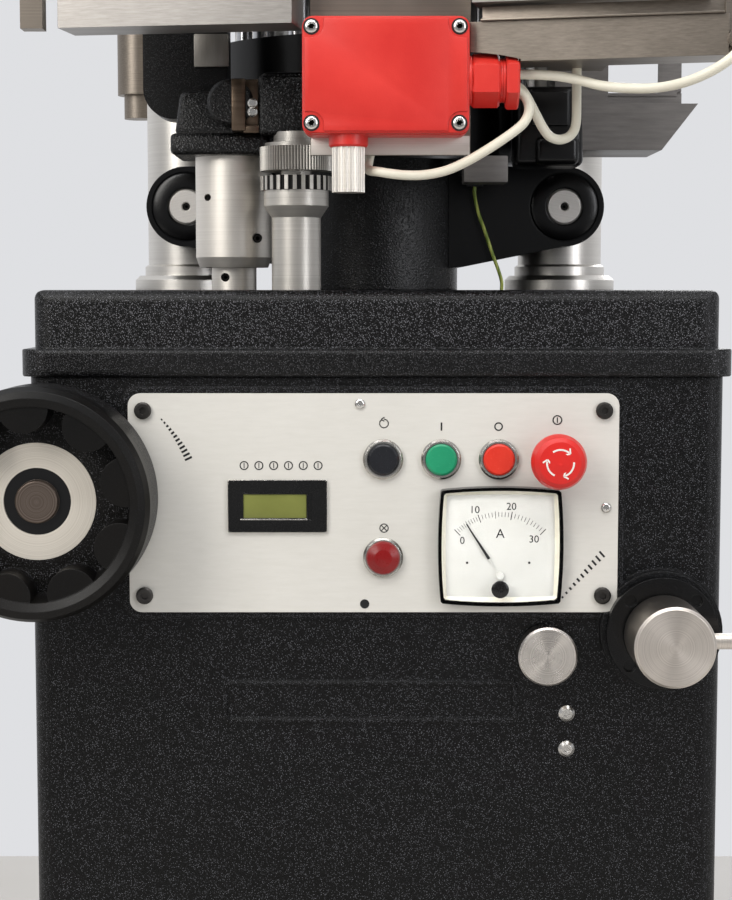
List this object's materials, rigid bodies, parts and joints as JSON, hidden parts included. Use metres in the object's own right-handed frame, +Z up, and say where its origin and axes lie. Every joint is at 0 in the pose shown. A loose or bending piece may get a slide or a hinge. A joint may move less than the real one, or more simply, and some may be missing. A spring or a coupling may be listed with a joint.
{
  "type": "rotary tablet press",
  "caption": "Floor-standing rotary tablet press: a turret of dies and punches between rear columns on a cast base, with hopper, guards, control panel and handwheel.",
  "frame": {"origin": "on the floor under the turret's axis", "axes": "+Z up, +X to the right and -Y towards the person who faces the control panel"},
  "size_m": [0.646, 0.7326, 1.5954],
  "materials": {
    "black_crackle": "near-black crackle enamel with glossy peaks",
    "machine_green": "plain machine enamel, satin",
    "turned_steel": "turned steel with fine rings",
    "tool_steel": "ground and polished tool steel",
    "stainless": "satin stainless",
    "guard_sheet": "brushed stainless sheet",
    "cast_dark": "machined cast iron, lightly oiled",
    "pulley_iron": "turned cast iron",
    "bronze": "cast bronze, turned",
    "panel_plate": "warm pale brushed plate",
    "chute_paint": "dark grey satin paint",
    "bezel_metal": "satin turned bezel",
    "black_plastic": "black moulded plastic",
    "blue_black_cap": "glossy blue-black cap",
    "green_cap": "glossy green cap",
    "red_cap": "glossy red cap",
    "mushroom_red": "red mushroom, soft gloss",
    "lamp_red": "dark red lens",
    "switch_red": "saturated red moulded case",
    "cable_cream": "cream cable sheath",
    "earth_sheath": "green and yellow wire sheath",
    "belt_rubber": "black rubber belt",
    "clear_cover": "clear meter cover",
    "needle_black": "black needle"
  },
  "bodies": {
    "base": {"pedestal": "black_crackle", "base_casing": "black_crackle", "base_lid": "black_crackle", "motor": "machine_green", "drive_belt": "belt_rubber", "gear_frame": "machine_green", "centre_column": "black_crackle", "lower_cam": "cast_dark", "upper_cam": "cast_dark", "lower_crosshead": "black_crackle", "crosshead_pins": "turned_steel", "rear_columns": "turned_steel", "crown": "black_crackle", "post_sleeve": "turned_steel", "post_clamp": "black_crackle", "cam_bracket": "black_crackle", "adjuster_stem": "stainless", "fill_cam_arm": "black_crackle", "feed_frame": "bronze", "hopper": "stainless", "discharge_chute": "chute_paint", "guard_frame": "guard_sheet", "interlock_switch": "switch_red", "switch_actuator": "stainless", "cable_right": "cable_cream", "cable_left": "cable_cream", "cable_loop": "cable_cream", "earth_wire": "earth_sheath", "control_panel": "panel_plate", "panel_screws": "black_plastic", "button_bezels": "bezel_metal", "tablet_counter": "black_plastic", "overload_lens": "lamp_red", "ammeter": "black_plastic", "ammeter_cover": "clear_cover", "pressure_flange": "black_plastic"},
    "turret": {"turret_shaft": "turned_steel", "turret": "turned_steel", "worm_wheel": "bronze", "dies": "tool_steel", "lower_punches": "tool_steel", "upper_punches": "tool_steel"},
    "worm": {"worm_shaft": "turned_steel", "main_pulley": "pulley_iron"},
    "motor_rotor": {"motor_pulley": "pulley_iron"},
    "lower_roll": {"lower_roll": "tool_steel"},
    "upper_roll": {"upper_roll": "tool_steel"},
    "rear_door": {"rear_door": "black_crackle"},
    "fill_drum": {"fill_drum": "stainless"},
    "left_door": {"left_guard_door": "guard_sheet"},
    "right_door": {"right_guard_door": "guard_sheet"},
    "reset": {"reset_button": "blue_black_cap"},
    "start": {"start_button": "green_cap"},
    "stop": {"stop_button": "red_cap"},
    "emergency": {"emergency_button": "mushroom_red"},
    "needle": {"ammeter_needle": "needle_black"},
    "handwheel": {"speed_handwheel": "black_plastic", "handwheel_hub": "stainless"},
    "pressure": {"pressure_knob": "stainless"},
    "small_knob": {"small_knob": "stainless"}
  },
  "joints": [
    {"name": "turret_spin", "type": "hinge", "parent": "base", "child": "turret", "pos_m": [0, 0, 0.9], "axis": [0, 0, 1], "continuous": true},
    {"name": "worm_spin", "type": "hinge", "parent": "base", "child": "worm", "pos_m": [0, 0.0928, 0.64], "axis": [1, 0, 0], "continuous": true},
    {"name": "motor_spin", "type": "hinge", "parent": "base", "child": "motor_rotor", "pos_m": [0.15, 0.0928, 0.41], "axis": [1, 0, 0], "continuous": true},
    {"name": "lower_roll_spin", "type": "hinge", "parent": "base", "child": "lower_roll", "pos_m": [0, 0.114, 0.855], "axis": [0, 1, 0], "continuous": true},
    {"name": "upper_roll_spin", "type": "hinge", "parent": "base", "child": "upper_roll", "pos_m": [0, 0.114, 1.26765], "axis": [0, 1, 0], "continuous": true},
    {"name": "rear_door_hinge", "type": "hinge", "parent": "base", "child": "rear_door", "pos_m": [-0.203, 0.307, 0.517], "axis": [0, 0, 1], "range_deg": [0, 110]},
    {"name": "fill_drum_spin", "type": "hinge", "parent": "base", "child": "fill_drum", "pos_m": [-0.0625, -0.195, 0.88], "axis": [0, 0, 1], "continuous": true},
    {"name": "left_door_hinge", "type": "hinge", "parent": "base", "child": "left_door", "pos_m": [-0.233, -0.304, 1.09], "axis": [0, 0, -1], "range_deg": [-9, 86]},
    {"name": "right_door_hinge", "type": "hinge", "parent": "base", "child": "right_door", "pos_m": [0.23218, -0.3738, 1.09], "axis": [0, 0, 1], "range_deg": [0, 100]},
    {"name": "reset_push", "type": "slide", "parent": "base", "child": "reset", "axis": [0, 1, 0], "range_m": [0, 0.003], "stiffness_N_per_m": 400, "springref_m": -0.001},
    {"name": "start_push", "type": "slide", "parent": "base", "child": "start", "axis": [0, 1, 0], "range_m": [0, 0.003], "stiffness_N_per_m": 400, "springref_m": -0.001},
    {"name": "stop_push", "type": "slide", "parent": "base", "child": "stop", "axis": [0, 1, 0], "range_m": [0, 0.003], "stiffness_N_per_m": 400, "springref_m": -0.001},
    {"name": "emergency_push", "type": "slide", "parent": "base", "child": "emergency", "axis": [0, 1, 0], "range_m": [0, 0.005]},
    {"name": "needle_swing", "type": "hinge", "parent": "base", "child": "needle", "pos_m": [0.09, -0.306, 0.5718], "axis": [0, 1, 0], "range_deg": [-11, 77], "stiffness_Nm_per_rad": 0.002},
    {"name": "handwheel_spin", "type": "hinge", "parent": "base", "child": "handwheel", "pos_m": [-0.242, -0.33, 0.63], "axis": [0, 1, 0], "continuous": true},
    {"name": "pressure_spin", "type": "hinge", "parent": "base", "child": "pressure", "pos_m": [0.209, -0.33, 0.53], "axis": [0, 1, 0], "continuous": true},
    {"name": "small_knob_turn", "type": "hinge", "parent": "base", "child": "small_knob", "pos_m": [0.125, -0.31, 0.513], "axis": [0, 1, 0], "range_deg": [0, 270]}
  ],
  "couplings": [
    {"joint": "worm_spin", "follows": "turret_spin", "ratio": 36},
    {"joint": "motor_spin", "follows": "turret_spin", "ratio": 72}
  ]
}
